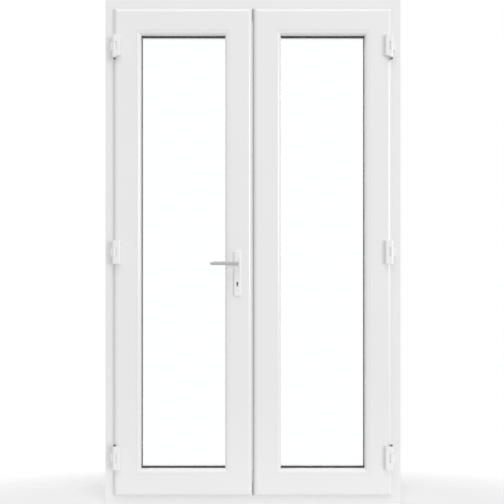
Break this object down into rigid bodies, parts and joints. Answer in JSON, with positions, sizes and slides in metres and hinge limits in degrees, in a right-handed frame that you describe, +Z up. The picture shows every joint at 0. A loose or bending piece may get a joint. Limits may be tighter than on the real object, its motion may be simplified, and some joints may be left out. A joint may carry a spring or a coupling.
{
  "type": "french doors",
  "caption": "Pair of glazed white french doors that open inwards in a full frame, with flag hinges and a lever handle on a long keyhole plate.",
  "frame": {"origin": "middle of the underside of the frame's sill, halfway through its depth", "axes": "+X to the right seen from the room, +Y from the room to the outside, +Z up"},
  "size_m": [1.2, 0.174, 2.05],
  "materials": {
    "upvc_white": "smooth, semi-gloss white",
    "galvanised_steel": "dull zinc",
    "glass": "clear float glass",
    "black_rubber": "matt black",
    "grey_rubber": "matt light grey",
    "black_plastic": "matt black",
    "lever_metal": "satin anodised",
    "plate_white": "white powder coat",
    "hinge_white": "white powder coat",
    "stainless_steel": "brushed",
    "lock_steel": "zinc plated"
  },
  "bodies": {
    "frame": {"frame_head": "upvc_white", "frame_sill": "upvc_white", "frame_left_jamb": "upvc_white", "frame_right_jamb": "upvc_white", "frame_reinforcements": "galvanised_steel", "frame_seal": "black_rubber", "drain_caps": "upvc_white", "hinge_frame_parts": "hinge_white", "hinge_pins": "stainless_steel", "hinge_pin_caps": "black_plastic", "rod_keeps": "stainless_steel", "keep_screws": "stainless_steel"},
    "active_leaf": {"active_hinge_stile": "upvc_white", "active_meeting_stile": "upvc_white", "active_top_rail": "upvc_white", "active_bottom_rail": "upvc_white", "active_reinforcements": "galvanised_steel", "active_glazing_beads": "upvc_white", "active_inner_pane": "glass", "active_outer_pane": "glass", "active_spacer": "black_plastic", "active_setting_blocks": "black_plastic", "active_outer_gasket": "black_rubber", "active_inner_gasket": "grey_rubber", "active_flange_seal": "grey_rubber", "active_hinge_leaf_parts": "hinge_white", "lock_case": "lock_steel", "lock_cover": "lock_steel", "lock_faceplate": "stainless_steel", "faceplate_screws": "stainless_steel", "inside_plate": "plate_white", "outside_plate": "plate_white", "plate_screws": "stainless_steel"},
    "lever": {"inside_lever": "lever_metal", "outside_lever": "lever_metal", "spindle": "lock_steel", "drive_pinion": "lock_steel"},
    "upper_rod": {"upper_drive_rod": "lock_steel"},
    "lower_rod": {"lower_drive_rod": "lock_steel"},
    "dead_bolt": {"dead_bolt": "stainless_steel"},
    "passive_leaf": {"passive_hinge_stile": "upvc_white", "passive_meeting_stile": "upvc_white", "passive_top_rail": "upvc_white", "passive_bottom_rail": "upvc_white", "passive_reinforcements": "galvanised_steel", "passive_glazing_beads": "upvc_white", "passive_inner_pane": "glass", "passive_outer_pane": "glass", "passive_spacer": "black_plastic", "passive_setting_blocks": "black_plastic", "passive_outer_gasket": "black_rubber", "passive_inner_gasket": "grey_rubber", "passive_flange_seal": "grey_rubber", "passive_hinge_leaf_parts": "hinge_white", "meeting_seal": "grey_rubber", "strike_plate": "stainless_steel", "flush_bolt_plates": "stainless_steel", "edge_screws": "stainless_steel"},
    "top_flush_bolt": {"top_flush_bolt": "lock_steel"},
    "bottom_flush_bolt": {"bottom_flush_bolt": "lock_steel"}
  },
  "joints": [
    {"name": "active_leaf_swing", "type": "hinge", "parent": "frame", "child": "active_leaf", "pos_m": [-0.558, -0.064, 1.025], "axis": [0, 0, -1], "range_deg": [0, 110]},
    {"name": "passive_leaf_swing", "type": "hinge", "parent": "frame", "child": "passive_leaf", "pos_m": [0.558, -0.064, 1.025], "axis": [0, 0, 1], "range_deg": [0, 110]},
    {"name": "lever_turn", "type": "hinge", "parent": "active_leaf", "child": "lever", "pos_m": [-0.063, -0.02, 0.979], "axis": [0, -1, 0], "range_deg": [0, 90]},
    {"name": "upper_rod_slide", "type": "slide", "parent": "active_leaf", "child": "upper_rod", "axis": [0, 0, 1], "range_m": [0, 0.0189]},
    {"name": "lower_rod_slide", "type": "slide", "parent": "active_leaf", "child": "lower_rod", "axis": [0, 0, -1], "range_m": [0, 0.0189]},
    {"name": "dead_bolt_slide", "type": "slide", "parent": "active_leaf", "child": "dead_bolt", "axis": [1, 0, 0], "range_m": [0, 0.02]},
    {"name": "top_flush_bolt_slide", "type": "slide", "parent": "passive_leaf", "child": "top_flush_bolt", "axis": [0, 0, 1], "range_m": [0, 0.02]},
    {"name": "bottom_flush_bolt_slide", "type": "slide", "parent": "passive_leaf", "child": "bottom_flush_bolt", "axis": [0, 0, -1], "range_m": [0, 0.02]}
  ],
  "couplings": [
    {"joint": "upper_rod_slide", "follows": "lever_turn", "m_per_rad": 0.012},
    {"joint": "lower_rod_slide", "follows": "lever_turn", "m_per_rad": 0.012}
  ]
}
